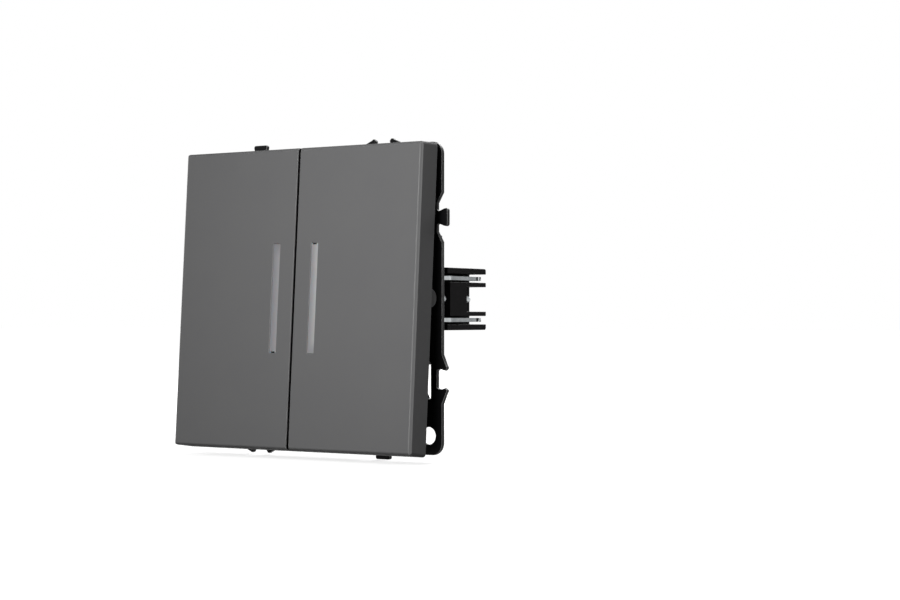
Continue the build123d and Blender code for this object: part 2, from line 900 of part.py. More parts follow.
def make_guide():
    """Right-hand claw guide: back wall, flanges, lips and a bored block."""
    x0 = tail_w
    x1 = tail_w + guide_wall
    y0, y1 = guide_block_y
    low, high = guide_lip_z
    inner = guide_half_h - guide_end_round
    guide = block(x0, x1, body_rear, guide_rear, -inner, inner)
    flange = prism_z(guide_side(body_rear, guide_rear), guide_flange_z, guide_half_h)
    end = flange.faces().sort_by(Axis.Y)[-1].edges().filter_by(Axis.X).sort_by(Axis.Z)[-1]
    guide += both_ends(fillet(end, guide_end_round))
    guide += both_ends(prism_z(guide_side(y0, guide_rear), low, high))
    guide += prism_z(guide_side(y0, y1), -high, high)
    return guide - rod_y(claw_x, 0, screw_shank_r + part_gap, y0 - 1, y1 + 1)


def claw_leg():
    """Outline of a claw's leg with its toothed edge, as (x, y) points."""
    front = claw_y - claw_t / 2
    start, end = claw_teeth_y
    pitch = (end - start) / claw_teeth
    flare = claw_y + claw_t
    points = [(claw_inner_x, front), (claw_base_x, front), (claw_base_x, flare)]
    points += [(claw_front_x, flare + 1.2), (claw_front_x, start)]
    for i in range(claw_teeth):
        y = start + i * pitch
        line = claw_front_x + (claw_tip_x - claw_front_x) * (i + 1) / claw_teeth
        points.append((line - tooth_depth, y + 0.5 * pitch))
        points.append((line, y + pitch))
    neck = claw_tip_x - notch_depth
    points += [(neck, end + 0.2), (neck, end + notch_w), (claw_tip_x, end + notch_w + 0.2)]
    points += [(claw_tip_x - 0.3, claw_tip_y), (claw_inner_x + 0.6, claw_tip_y)]
    points.append((claw_inner_x, claw_tip_y - 0.6))
    return points


def make_claw():
    """Right-hand claw: a folded sheet with two toothed legs."""
    front = claw_y - claw_t / 2
    rear = claw_y + claw_t / 2
    inner = claw_half_h - claw_t
    base = block(claw_inner_x, claw_base_x, front, rear, -claw_half_h, claw_half_h)
    claw = base + both_ends(prism_z(claw_leg(), inner, claw_half_h))
    bends = claw.edges().filter_by(Axis.X).group_by(Axis.Y)[0]
    claw = fillet(bends, claw_t + 0.6)
    folds = [e for e in claw.edges().filter_by(Axis.X) if is_fold(e, rear, inner)]
    claw = fillet(folds, 0.6)
    half = screw_shank_r + 0.4
    hole = block(claw_x - half - 0.4, claw_x + half + 0.4, front - 1, rear + 1, -half, half)
    return claw - fillet(hole.edges().filter_by(Axis.Y), half - 0.1)


def is_fold(line, y, z):
    """True for the inside corner line of a claw's fold."""
    middle = line.center()
    return abs(middle.Y - y) < 0.01 and abs(abs(middle.Z) - z) < 0.01


def make_claw_loop():
    """Right-hand looped strap that holds the claw screw's neck."""
    y0, y1 = loop_y
    x0 = claw_x - loop_half_w
    x1 = claw_x + loop_half_w
    loop = block(x0, x1, y0, y1, -loop_half_h, loop_half_h)
    loop = fillet(loop.edges().filter_by(Axis.X), 1.3)
    inner = loop_half_h - loop_t
    hollow = block(x0 - 1, x1 + 1, y0 + loop_t, y1 - loop_t, -inner, inner)
    loop -= fillet(hollow.edges().filter_by(Axis.X), 0.5)
    loop += block(recess_floor_x, x0 + 0.5, y0, y0 + loop_t, -1.7, 1.7)
    return loop - rod_y(claw_x, 0, screw_shank_r + part_gap, y0 - 1, y1 + 1)


def make_claw_screw():
    """Right-hand claw screw: domed head, flange, neck and threaded end."""
    y0, y1 = screw_flange_y
    head = screw_head_r
    outline = [(0, screw_head_y), (head * 0.55, screw_head_y + 0.12)]
    outline.append((head * 0.86, screw_head_y + 0.45))
    outline += [(head, y0), (screw_flange_r - 0.15, y0), (screw_flange_r, y0 + 0.15)]
    outline += [(screw_flange_r, y1 - 0.1), (screw_flange_r - 0.1, y1), (screw_shank_r, y1)]
    start = guide_block_y[1] + 0.4
    ridges = 7
    pitch = (screw_end_y - 0.3 - start) / ridges
    outline.append((screw_shank_r, start))
    for i in range(ridges):
        outline.append((screw_shank_r - 0.28, start + (i + 0.5) * pitch))
        outline.append((screw_shank_r, start + (i + 1) * pitch))
    outline += [(screw_shank_r - 0.3, screw_end_y), (0, screw_end_y)]
    screw = turned_y(outline, claw_x, 0)
    for wide, tall in ((1.1, 0.25), (0.25, 1.1)):
        y1 = screw_head_y + 0.8
        screw -= block(claw_x - wide, claw_x + wide, screw_head_y - 1, y1, -tall, tall)
    return screw


# Release levers


def lever_point(along, up):
    """A point of the lever's outline, as shares of its length and rise from the hub."""
    return (lever_hub_y + along * lever_len, lever_hub_z + up * lever_rise)


def make_lever(x):
    """Upper release lever with finger ridges on its outer side."""
    shares = [(0.15, -0.06), (0.27, 0.23), (0.47, 0.47), (0.72, 0.64), (0.96, 0.70)]
    shares += [(1.0, 0.76), (1.0, 0.89)]
    ridges = 5
    for i in range(ridges * 4 + 1):
        s = i / (ridges * 4)
        dip = 0.058 * abs(math.cos(math.pi * ridges * s))
        shares.append((0.946 - 0.892 * s, 1.0 - 0.433 * s - 0.093 * s * (1 - s) - dip))
    shares += [(-0.12, 0.19), (0.0, -0.04)]
    arm = prism_x([lever_point(a, b) for a, b in shares], x - lever_half_w, x + lever_half_w)
    arm += rod_x(lever_hub_y, lever_hub_z, lever_hub_r, x - lever_half_w, x + lever_half_w)
    reach = lever_half_w + lever_pin_reach
    return arm + rod_x(lever_hub_y, lever_hub_z, lever_pin_r, x - reach, x + reach)


# Write every piece

export_step(make_plate(), "parts/mounting_plate.step")
catch = make_catch()
write_pair(catch, "frame_catch_top")
write_pair(mirror(catch, about=Plane.XY), "frame_catch_bottom")
write_pair(tipped(make_key(), pivot_y, 0, -rest_tilt), "key")
write_pair(tipped(make_light_bar(), pivot_y, 0, -rest_tilt), "light_bar")
write_pair(tipped(make_rocker(), pivot_y, 0, -rest_tilt), "rocker")
write_pair(tipped(make_plunger(), pivot_y, 0, -rest_tilt), "plunger")
write_pair(tipped(make_spring(), pivot_y, 0, -rest_tilt), "plunger_spring")
export_step(make_carrier(), "parts/carrier.step")
export_step(make_board(), "parts/indicator_board.step")
write_pair(make_lamp(), "indicator_lamp")
export_step(make_housing(), "parts/rear_housing.step")
export_step(make_top_cap(), "parts/terminal_cap_top.step")
export_step(make_low_cap(), "parts/terminal_cap_bottom.step")
write_pair(make_seesaw(), "seesaw")
write_pair(make_fixed_contact(), "fixed_contact")
export_step(make_common_bar(), "parts/common_bar.step")
write_pair(make_clamp_spring(terminal_x), "clamp_spring_top")
low_spring = mirror(make_clamp_spring(0), about=Plane.XY)
export_step(low_spring, "parts/clamp_spring_bottom.step")
write_pair(make_guide(), "claw_guide")
write_pair(make_claw(), "claw")
write_pair(make_claw_loop(), "claw_loop")
write_pair(make_claw_screw(), "claw_screw")
write_pair(make_lever(terminal_x), "release_lever_top")
export_step(mirror(make_lever(0), about=Plane.XY), "parts/release_lever_bottom.step")
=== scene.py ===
"""Looks of a two-gang light switch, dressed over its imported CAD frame."""

import logging
import math
from dataclasses import dataclass, field
from enum import Enum
from typing import Optional, Sequence, Union

import bpy
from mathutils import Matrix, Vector


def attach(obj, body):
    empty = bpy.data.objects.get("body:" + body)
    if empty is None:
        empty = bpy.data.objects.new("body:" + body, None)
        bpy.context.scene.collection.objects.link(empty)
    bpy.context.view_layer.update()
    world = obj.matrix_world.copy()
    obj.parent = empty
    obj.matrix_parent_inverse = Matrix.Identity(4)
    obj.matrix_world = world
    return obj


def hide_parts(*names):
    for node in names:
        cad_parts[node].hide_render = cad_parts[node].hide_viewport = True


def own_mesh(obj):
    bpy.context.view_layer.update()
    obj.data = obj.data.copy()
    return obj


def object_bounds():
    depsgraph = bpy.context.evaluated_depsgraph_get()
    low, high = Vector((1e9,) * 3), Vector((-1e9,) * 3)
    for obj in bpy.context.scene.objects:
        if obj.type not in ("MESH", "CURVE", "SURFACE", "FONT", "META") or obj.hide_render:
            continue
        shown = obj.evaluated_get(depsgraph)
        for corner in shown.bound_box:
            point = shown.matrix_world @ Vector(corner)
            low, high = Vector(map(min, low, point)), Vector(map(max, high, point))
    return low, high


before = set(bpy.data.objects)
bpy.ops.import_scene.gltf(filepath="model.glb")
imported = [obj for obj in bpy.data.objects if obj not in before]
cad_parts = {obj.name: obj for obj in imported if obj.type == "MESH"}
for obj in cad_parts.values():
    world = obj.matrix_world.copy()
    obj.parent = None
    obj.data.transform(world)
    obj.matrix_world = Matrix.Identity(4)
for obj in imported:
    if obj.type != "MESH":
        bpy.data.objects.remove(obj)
CAD_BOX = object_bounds()

LOG = logging.getLogger("light_switch")
MM = 0.001
# Middle of a light bar from the seam, and half its size, in millimetres.
BAR_X = 5.6
BAR_HALF = (0.95, 12.7)
# Distance in metres within which corners merge.
MERGE_GAP = 2e-6
# Angles in degrees: faces under the first are one flat, edges under the second
# shade smooth (under the third on a turned screw), and edges over the last are rounded.
FLAT_ANGLE = 0.6
SMOOTH_ANGLE = 38.0
TURNED_ANGLE = 30.0
ROUND_ANGLE = 34.0
ROUND_STEPS = 3
Point = tuple[float, float, float]
Socket = bpy.types.NodeSocket


class Side(Enum):
    """The two hands of the switch, with the sign of their X."""

    LEFT = -1
    RIGHT = 1

    @property
    def word(self) -> str:
        """Word used in the names of the pieces."""
        return self.name.lower()


class EdgeRound(Enum):
    """How far an edge is rounded by the way its piece is made, in millimetres."""

    PRESSED = 0.10
    COATED = 0.18
    MOULDED = 0.16
    PAINTED = 0.20
    LENS = 0.06


# Colour and nodes


def linear(hex_colour: str) -> tuple[float, float, float, float]:
    """Turn an sRGB hex value to linear colour.

    Args:
        hex_colour: Colour as six hex digits, with or without a hash.

    Returns:
        Red, green, blue and alpha for a shader socket.
    """
    digits = hex_colour.lstrip("#")
    parts = [int(digits[i : i + 2], 16) / 255 for i in (0, 2, 4)]
    lin = [c / 12.92 if c <= 0.04045 else ((c + 0.055) / 1.055) ** 2.4 for c in parts]
    return (lin[0], lin[1], lin[2], 1.0)


def add_node(
    tree: bpy.types.NodeTree,
    kind: str,
    settings: Optional[dict] = None,
    links: Optional[dict[Union[str, int], Socket]] = None,
) -> bpy.types.Node:
    """Add a node with its settings and links.

    Args:
        tree: Node tree of a material or the world.
        kind: Blender's name of the node type.
        settings: Values by input name or index, or by property name.
        links: Sockets by the name or index of the input they feed.

    Returns:
        The new node.
    """
    node = tree.nodes.new(kind)
    for key, value in (settings or {}).items():
        if isinstance(key, int) or key in node.inputs:
            node.inputs[key].default_value = value
        else:
            setattr(node, key, value)
    for key, socket in (links or {}).items():
        tree.links.new(socket, node.inputs[key])
    return node


def per_mm(size: float) -> float:
    """Scale of a texture whose features are this many millimetres wide."""
    return 1 / (size * MM)


@dataclass(frozen=True)
class Finish:
    """What every finish shares: a name and an empty material to fill."""

    name: str

    def start(self) -> tuple[bpy.types.Material, bpy.types.NodeTree]:
        """Make the material with an empty tree.

        Returns:
            The material and its node tree.
        """
        material = bpy.data.materials.new(self.name)
        material.use_nodes = True
        material.node_tree.nodes.clear()
        return material, material.node_tree


@dataclass(frozen=True)
class MouldedPlastic(Finish):
    """Injection-moulded plastic: even colour, a fine eroded grain and soft gloss.

    The real grain is under a tenth of a millimetre wide, and is drawn coarser to show.
    """

    colour: str
    drift: str
    roughness: float
    ior: float
    specular: float
    grain_mm: float
    grain_depth_mm: float
    cloud_mm: float = 14.0
    gloss_spread: tuple[float, float] = (-0.05, 0.07)
    glow: float = 0.0
    glow_mm: float = 1.2
    # Half width of the band beside the middle seam that takes painted shade, and the colour
    # of that shade.
    seam_shade_half_mm: float = 0.0
    seam_shade_colour: str = "#0b0b0b"
    # Colour of the painted highlight on the bevels between front and side.
    edge_highlight_colour: Optional[str] = None

    def material(self) -> bpy.types.Material:
        """Build the node tree.

        Returns:
            The finished material.
        """
        made, tree = self.start()
        low, high = self.gloss_spread
        frame_of = add_node(tree, "ShaderNodeTexCoord")
        place = frame_of.outputs["Object"]
        cloud = add_node(
            tree,
            "ShaderNodeTexNoise",
            {"Scale": per_mm(self.cloud_mm), "Detail": 3.0, "Roughness": 0.6},
            {"Vector": place},
        )
        colour = add_node(
            tree,
            "ShaderNodeMix",
            {"data_type": "RGBA", 6: linear(self.colour), 7: linear(self.drift)},
            {0: cloud.outputs["Fac"]},
        )
        base = colour.outputs[2]
        if self.edge_highlight_colour:
            base = self.paint_edge_highlight(tree, frame_of.outputs["Normal"], base)
        if self.seam_shade_half_mm:
            base = self.paint_seam_shade(tree, place, base)
        grain = add_node(
            tree,
            "ShaderNodeTexNoise",
            {"Scale": per_mm(self.grain_mm), "Detail": 2.0, "Roughness": 0.55},
            {"Vector": place},
        )
        gloss = add_node(
            tree,
            "ShaderNodeMapRange",
            {"To Min": self.roughness + low, "To Max": self.roughness + high},
            {"Value": grain.outputs["Fac"]},
        )
        bump = add_node(
            tree,
            "ShaderNodeBump",
            {"Strength": 0.6, "Distance": self.grain_depth_mm * MM},
            {"Height": grain.outputs["Fac"]},
        )
        shader = add_node(
            tree,
            "ShaderNodeBsdfPrincipled",
            {
                "IOR": self.ior,
                "Specular IOR Level": self.specular,
                "Subsurface Weight": self.glow,
                "Subsurface Scale": self.glow_mm * MM,
            },
            {
                "Base Color": base,
                "Roughness": gloss.outputs["Result"],
                "Normal": bump.outputs["Normal"],
            },
        )
        add_node(
            tree, "ShaderNodeOutputMaterial", links={"Surface": shader.outputs["BSDF"]}
        )
        return made

    def paint_edge_highlight(self, tree: bpy.types.NodeTree, facing: Socket, base: Socket) -> Socket:
        """Paint a highlight on the bevels between front and side, lighter by the way they
        face.

        The slant is 0 on a front or side face and -0.5 on a flat chamfer between them.

        Args:
            tree: Tree of the material.
            facing: Normal in the object's frame.
            base: Colour of the coat.

        Returns:
            The colour with the painted edge highlight in it.
        """
        axes = add_node(tree, "ShaderNodeSeparateXYZ", links={"Vector": facing})
        sideways = add_node(
            tree, "ShaderNodeMath", {"operation": "ABSOLUTE"}, {0: axes.outputs["X"]}
        )
        slant = add_node(
            tree,
            "ShaderNodeMath",
            {"operation": "MULTIPLY"},
            {0: sideways.outputs["Value"], 1: axes.outputs["Y"]},
        )
        round_edge = add_node(
            tree,
            "ShaderNodeMapRange",
            {"From Min": -0.15, "From Max": -0.3},
            {"Value": slant.outputs["Value"]},
        )
        flat = add_node(
            tree,
            "ShaderNodeMapRange",
            {"From Min": -0.44, "From Max": -0.495, "To Min": 1.0, "To Max": 0.4},
            {"Value": slant.outputs["Value"]},
        )
        share = add_node(
            tree,
            "ShaderNodeMath",
            {"operation": "MULTIPLY"},
            {0: round_edge.outputs["Result"], 1: flat.outputs["Result"]},
        )
        mixed = add_node(
            tree,
            "ShaderNodeMix",
            {"data_type": "RGBA", 7: linear(self.edge_highlight_colour)},
            {0: share.outputs["Value"], 6: base},
        )
        return mixed.outputs[2]

    def paint_seam_shade(self, tree: bpy.types.NodeTree, place: Socket, base: Socket) -> Socket:
        """Paint shade on the faces beside the middle seam, where the gap between the keys
        lies in shadow.

        Args:
            tree: Tree of the material.
            place: Object coordinates.
            base: Colour of the paint.

        Returns:
            The colour with the painted seam shade in it.
        """
        axes = add_node(tree, "ShaderNodeSeparateXYZ", links={"Vector": place})
        away = add_node(
            tree, "ShaderNodeMath", {"operation": "ABSOLUTE"}, {0: axes.outputs["X"]}
        )
        inside = add_node(
            tree,
            "ShaderNodeMath",
            {"operation": "LESS_THAN", 1: self.seam_shade_half_mm * MM},
            {0: away.outputs["Value"]},
        )
        mixed = add_node(
            tree,
            "ShaderNodeMix",
            {"data_type": "RGBA", 7: linear(self.seam_shade_colour)},
            {0: inside.outputs["Value"], 6: base},
        )
        return mixed.outputs[2]


@dataclass(frozen=True)
class PlatedSteel(Finish):
    """Zinc-plated or bare spring steel: bright, with drawn lines and dull patches."""

    colour: str
    dull: str
    roughness: float
    patch_mm: float
    line_mm: float
    lines_along: Point
    gloss_spread: tuple[float, float] = (-0.07, 0.12)
    # Start, end and pitch of the teeth along Y, then the colour and mottle size of the
    # painted shade in their roots and on the tip behind them.
    teeth_mm: Optional[tuple[float, float, float]] = None
    teeth_shade_colour: str = "#2a2d2f"
    tip_shade_mm: float = 0.7

    def paint_teeth_shade(self, tree: bpy.types.NodeTree, place: Socket, base: Socket) -> Socket:
        """Paint shade into the roots of the teeth along Y, and a mottled painted shade on
        the tip behind them.

        Args:
            tree: Tree of the material.
            place: Object coordinates.
            base: Colour of the plate.

        Returns:
            The colour with the painted shade in it.
        """
        start, end, pitch = self.teeth_mm
        axes = add_node(tree, "ShaderNodeSeparateXYZ", links={"Vector": place})
        depth = axes.outputs["Y"]
        turn = add_node(
            tree,
            "ShaderNodeMath",
            {"operation": "MULTIPLY", 1: 2 * math.pi / (pitch * MM)},
            {0: depth},
        )
        wave = add_node(
            tree, "ShaderNodeMath", {"operation": "SINE"}, {0: turn.outputs["Value"]}
        )
        root = add_node(
            tree,
            "ShaderNodeMapRange",
            {"From Min": -0.95, "From Max": -0.1, "To Min": 0.25, "To Max": 0.95},
            {"Value": wave.outputs["Value"]},
        )
        begun = add_node(
            tree, "ShaderNodeMath", {"operation": "GREATER_THAN", 1: start * MM}, {0: depth}
        )
        toothed = add_node(
            tree,
            "ShaderNodeMath",
            {"operation": "MULTIPLY"},
            {0: root.outputs["Result"], 1: begun.outputs["Value"]},
        )
        tip_mottle = add_node(
            tree,
            "ShaderNodeTexNoise",
            {"Scale": per_mm(self.tip_shade_mm), "Detail": 3.0},
            {"Vector": place},
        )
        tip_shade = add_node(
            tree,
            "ShaderNodeMapRange",
            {"From Min": 0.6, "From Max": 0.45},
            {"Value": tip_mottle.outputs["Fac"]},
        )
        beyond = add_node(
            tree, "ShaderNodeMath", {"operation": "GREATER_THAN", 1: end * MM}, {0: depth}
        )
        share = add_node(
            tree,
            "ShaderNodeMix",
            {"data_type": "FLOAT"},
            {
                0: beyond.outputs["Value"],
                2: toothed.outputs["Value"],
                3: tip_shade.outputs["Result"],
            },
        )
        mixed = add_node(
            tree,
            "ShaderNodeMix",
            {"data_type": "RGBA", 7: linear(self.teeth_shade_colour)},
            {0: share.outputs[0], 6: base},
        )
        return mixed.outputs[2]

    def material(self) -> bpy.types.Material:
        """Build the node tree.

        Returns:
            The finished material.
        """
        made, tree = self.start()
        low, high = self.gloss_spread
        place = add_node(tree, "ShaderNodeTexCoord").outputs["Object"]
        patch = add_node(
            tree,
            "ShaderNodeTexNoise",
            {"Scale": per_mm(self.patch_mm), "Detail": 4.0, "Roughness": 0.65},
            {"Vector": place},
        )
        stretched = add_node(
            tree,
            "ShaderNodeMapping",
            {"Scale": self.lines_along},
            {"Vector": place},
        )
        lines = add_node(
            tree,
            "ShaderNodeTexNoise",
            {"Scale": per_mm(self.line_mm), "Detail": 2.0},
            {"Vector": stretched.outputs["Vector"]},
        )
        colour = add_node(
            tree,
            "ShaderNodeMix",
            {"data_type": "RGBA", 6: linear(self.colour), 7: linear(self.dull)},
            {0: patch.outputs["Fac"]},
        )
        base = colour.outputs[2]
        if self.teeth_mm:
            base = self.paint_teeth_shade(tree, place, base)
        gloss = add_node(
            tree,
            "ShaderNodeMapRange",
            {"To Min": self.roughness + low, "To Max": self.roughness + high},
            {"Value": patch.outputs["Fac"]},
        )
        bump = add_node(
            tree,
            "ShaderNodeBump",
            {"Strength": 0.35, "Distance": 0.02 * MM},
            {"Height": lines.outputs["Fac"]},
        )
        shader = add_node(
            tree,
            "ShaderNodeBsdfPrincipled",
            {"Metallic": 1.0},
            {
                "Base Color": base,
                "Roughness": gloss.outputs["Result"],
                "Normal": bump.outputs["Normal"],
            },
        )
        add_node(
            tree, "ShaderNodeOutputMaterial", links={"Surface": shader.outputs["BSDF"]}
        )
        return made


@dataclass(frozen=True)
class FrostedLens(Finish):
    """Milky polycarbonate: light goes in, scatters and comes out pale."""

    colour: str
    # Colour of the darker long side, a painted shade across the bar.
    shade: str
    faded: str
    side: Side
    roughness: float = 0.34
    ior: float = 1.58
    fade_mm: float = 3.5
    haze_mm: float = 0.5
    haze_depth_mm: float = 0.01
    glow: float = 0.35
    glow_mm: float = 0.5

    def spread(
        self, tree: bpy.types.NodeTree, value: Socket, start: float, end: float
    ) -> Socket:
        """Turn a place in millimetres to a share from 0 to 1."""
        node = add_node(
            tree,
            "ShaderNodeMapRange",
            {
                "From Min": start * MM,
                "From Max": end * MM,
                "interpolation_type": "SMOOTHSTEP",
            },
            {"Value": value},
        )
        return node.outputs["Result"]

    def material(self) -> bpy.types.Material:
        """Build the node tree: one long side darker as painted shade, one end fading out.

        Returns:
            The finished material.
        """
        made, tree = self.start()
        place = add_node(tree, "ShaderNodeTexCoord").outputs["Object"]
        axes = add_node(tree, "ShaderNodeSeparateXYZ", links={"Vector": place})
        wide, tall = BAR_HALF
        x = self.side.value * BAR_X
        across = self.spread(tree, axes.outputs["X"], x - wide, x + wide)
        far_end = -self.side.value
        fades_from, tip = far_end * (tall - self.fade_mm), far_end * tall
        along = self.spread(tree, axes.outputs["Z"], fades_from, tip)
        lit = add_node(
            tree,
            "ShaderNodeMix",
            {"data_type": "RGBA", 6: linear(self.shade), 7: linear(self.colour)},
            {0: across},
        )
        colour = add_node(
            tree,
            "ShaderNodeMix",
            {"data_type": "RGBA", 7: linear(self.faded)},
            {0: along, 6: lit.outputs[2]},
        )
        haze = add_node(
            tree,
            "ShaderNodeTexNoise",
            {"Scale": per_mm(self.haze_mm), "Detail": 2.0},
            {"Vector": place},
        )
        bump = add_node(
            tree,
            "ShaderNodeBump",
            {"Strength": 0.3, "Distance": self.haze_depth_mm * MM},
            {"Height": haze.outputs["Fac"]},
        )
        shader = add_node(
            tree,
            "ShaderNodeBsdfPrincipled",
            {
                "IOR": self.ior,
                "Roughness": self.roughness,
                "Subsurface Weight": self.glow,
                "Subsurface Scale": self.glow_mm * MM,
            },
            {"Base Color": colour.outputs[2], "Normal": bump.outputs["Normal"]},
        )
        add_node(
            tree, "ShaderNodeOutputMaterial", links={"Surface": shader.outputs["BSDF"]}
        )
        return made


# Matt paint on moulded plastic: a dark neutral grey with a dry, even face.
# Its bevels between front and side get a painted highlight, and painted shade lies beside
# the seam between the keys.
ANTHRACITE = MouldedPlastic(
    "matt_anthracite_paint",
    "#696969",
    "#656566",
    0.55,
    1.48,
    0.02,
    0.35,
    0.012,
    seam_shade_half_mm=0.32,
    edge_highlight_colour="#828282",
)
# Black glass-filled nylon: spark-eroded tool grain, dry, with hardly any sheen.
BLACK_NYLON = MouldedPlastic(
    "black_glass_filled_nylon", "#1f1e1f", "#181718", 0.42, 1.5, 0.01, 0.45, 0.03
)
# The same nylon from a polished tool: a touch lighter, with a clearer sheen.
HOUSING_NYLON = MouldedPlastic(
    "black_housing_nylon", "#242324", "#1d1c1d", 0.38, 1.5, 0.08, 0.45, 0.03
)
# Black electro-coat on pressed steel: thin, smooth, a little orange peel.
# Its bevels between front and side get a painted highlight.
BLACK_COAT = MouldedPlastic(
    "black_electro_coat",
    "#121213",
    "#0d0d0e",
    0.36,
    1.5,
    0.09,
    1.1,
    0.02,
    edge_highlight_colour="#707070",
)
# Unpigmented nylon: milky, off-white, light passes a little way into it.
MILKY_NYLON = MouldedPlastic(
    "off_white_nylon", "#e4e1d7", "#d8d5ca", 0.45, 1.53, 0.3, 0.5, 0.02, glow=0.12
)
# Red nylon of the release lever for the supply wire.
RED_NYLON = MouldedPlastic(
    "red_nylon", "#c40410", "#aa020c", 0.42, 1.53, 0.12, 0.5, 0.02, glow=0.1
)
# Green laminate under the lamps, with a lacquered face.
LAMINATE = MouldedPlastic(
    "green_circuit_laminate", "#14512f", "#0f3f26", 0.35, 1.5, 0.5, 0.3, 0.01
)
# Small resin lamps with a pale yellow fill.
LAMP_RESIN = MouldedPlastic(
    "pale_lamp_resin", "#efe6bd", "#e8dcaa", 0.25, 1.53, 0.5, 0.4, 0.01, glow=0.3
)
# Bright zinc plate on steel, drawn lines along the depth.
ZINC = PlatedSteel(
    "bright_zinc_plate", "#c4c7c8", "#8a8f91", 0.32, 2.2, 0.12, (1.0, 0.08, 1.0)
)
# The same plate on the claws, with painted shade in the roots of their teeth and on the tip
# behind them.
CLAW_ZINC = PlatedSteel(
    "toothed_zinc_plate",
    "#c9cccd",
    "#8d9294",
    0.32,
    2.2,
    0.12,
    (1.0, 0.08, 1.0),
    teeth_mm=(15.2, 28.3, 0.62),
)
# Blue passivated zinc: the same plate with a cold cast.
BLUE_ZINC = PlatedSteel(
    "blue_passivated_zinc", "#8ea9b3", "#486570", 0.24, 1.6, 0.12, (0.2, 1.0, 1.0)
)
# Rolled brass of the contact parts.
BRASS = PlatedSteel(
    "rolled_brass", "#d9b468", "#b98f48", 0.3, 3.0, 0.12, (0.1, 1.0, 1.0)
)
# Cold-drawn spring wire and strip.
SPRING = PlatedSteel(
    "drawn_spring_steel", "#c3c4c6", "#8f9194", 0.3, 2.0, 0.1, (1.0, 0.1, 1.0)
)
# Frosted light bars: a faint violet in the milk, and the two differ in tone.
# The second colour of each bar is painted shade along its left long side.
LENS_LEFT = FrostedLens(
    "frosted_lens_left", "#888789", "#77777c", "#737375", Side.LEFT
)
LENS_RIGHT = FrostedLens(
    "frosted_lens_right", "#9b9b9c", "#7f7f82", "#7f7f81", Side.RIGHT
)


# Modelling by operators


def deselect() -> None:
    """Leave object mode and select nothing."""
    if bpy.context.object and bpy.context.object.mode != "OBJECT":
        bpy.ops.object.mode_set(mode="OBJECT")
    bpy.ops.object.select_all(action="DESELECT")


def take(piece: bpy.types.Object) -> None:
    """Select one object alone and make it the active one."""
    deselect()
    piece.select_set(True)
    bpy.context.view_layer.objects.active = piece


def edit_all(piece: bpy.types.Object) -> None:
    """Enter edit mode on one object with everything selected."""
    take(piece)
    bpy.ops.object.mode_set(mode="EDIT")
    bpy.ops.mesh.select_all(action="SELECT")


def settle(piece: bpy.types.Object) -> None:
    """Leave edit mode and put the object's place into its mesh."""
    take(piece)
    bpy.ops.object.transform_apply(location=True, rotation=True, scale=True)


def apply_modifier(
    piece: bpy.types.Object, kind: str, settings: dict[str, object]
) -> None:
    """Add a modifier, set it and apply it.

    Args:
        piece: Object that gets the modifier.
        kind: Blender's name of the modifier type.
        settings: Values by property name.
    """
    take(piece)
    modifier = piece.modifiers.new(kind.lower(), kind)
    for name, value in settings.items():
        setattr(modifier, name, value)
    bpy.ops.object.modifier_apply(modifier=modifier.name)


def smooth(piece: bpy.types.Object, angle: float = SMOOTH_ANGLE) -> None:
    """Shade smooth over gentle edges only."""
    take(piece)
    bpy.ops.object.shade_smooth_by_angle(angle=math.radians(angle))


def dress(piece: bpy.types.Object, material: bpy.types.Material) -> None:
    """Give an object one material all over."""
    piece.data.materials.clear()
    piece.data.materials.append(material)


def merged_copy(node: str, name: str) -> bpy.types.Object:
    """Copy a CAD node's mesh and merge its loose triangles.

    Args:
        node: Name of the CAD node, which the copy stands for.
        name: Name of the new object.

    Returns:
        The copy.
    """
    deselect()
    piece = bpy.data.objects.new(name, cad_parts[node].data.copy())
    bpy.context.scene.collection.objects.link(piece)
    edit_all(piece)
    bpy.ops.mesh.customdata_custom_splitnormals_clear()
    bpy.ops.mesh.remove_doubles(threshold=MERGE_GAP)
    deselect()
    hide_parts(node)
    return piece


def softened(
    node: str,
    edge: EdgeRound,
    clamped: bool = False,
    cutters: Sequence[bpy.types.Object] = (),
) -> bpy.types.Object:
    """Copy a CAD node, cut fine details and round its edges as its making does.

    Args:
        node: Name of the CAD node, which the copy stands for.
        edge: How far the edges are rounded.
        clamped: Whether the shortest edge holds the rounding back.
        cutters: Closed bodies to take away before the rounding.

    Returns:
        The copy, smooth shaded.
    """
    piece = merged_copy(node, f"{node}_finished")
    cut_away(piece, cutters)
    edit_all(piece)
    bpy.ops.mesh.dissolve_limited(angle_limit=math.radians(FLAT_ANGLE))
    deselect()
    smooth(piece)
    apply_modifier(
        piece,
        "BEVEL",
        {
            "width": edge.value * MM,
            "segments": ROUND_STEPS,
            "limit_method": "ANGLE",
            "angle_limit": math.radians(ROUND_ANGLE),
            "use_clamp_overlap": clamped,
            "miter_outer": "MITER_ARC",
            "harden_normals": True,
        },
    )
    return piece


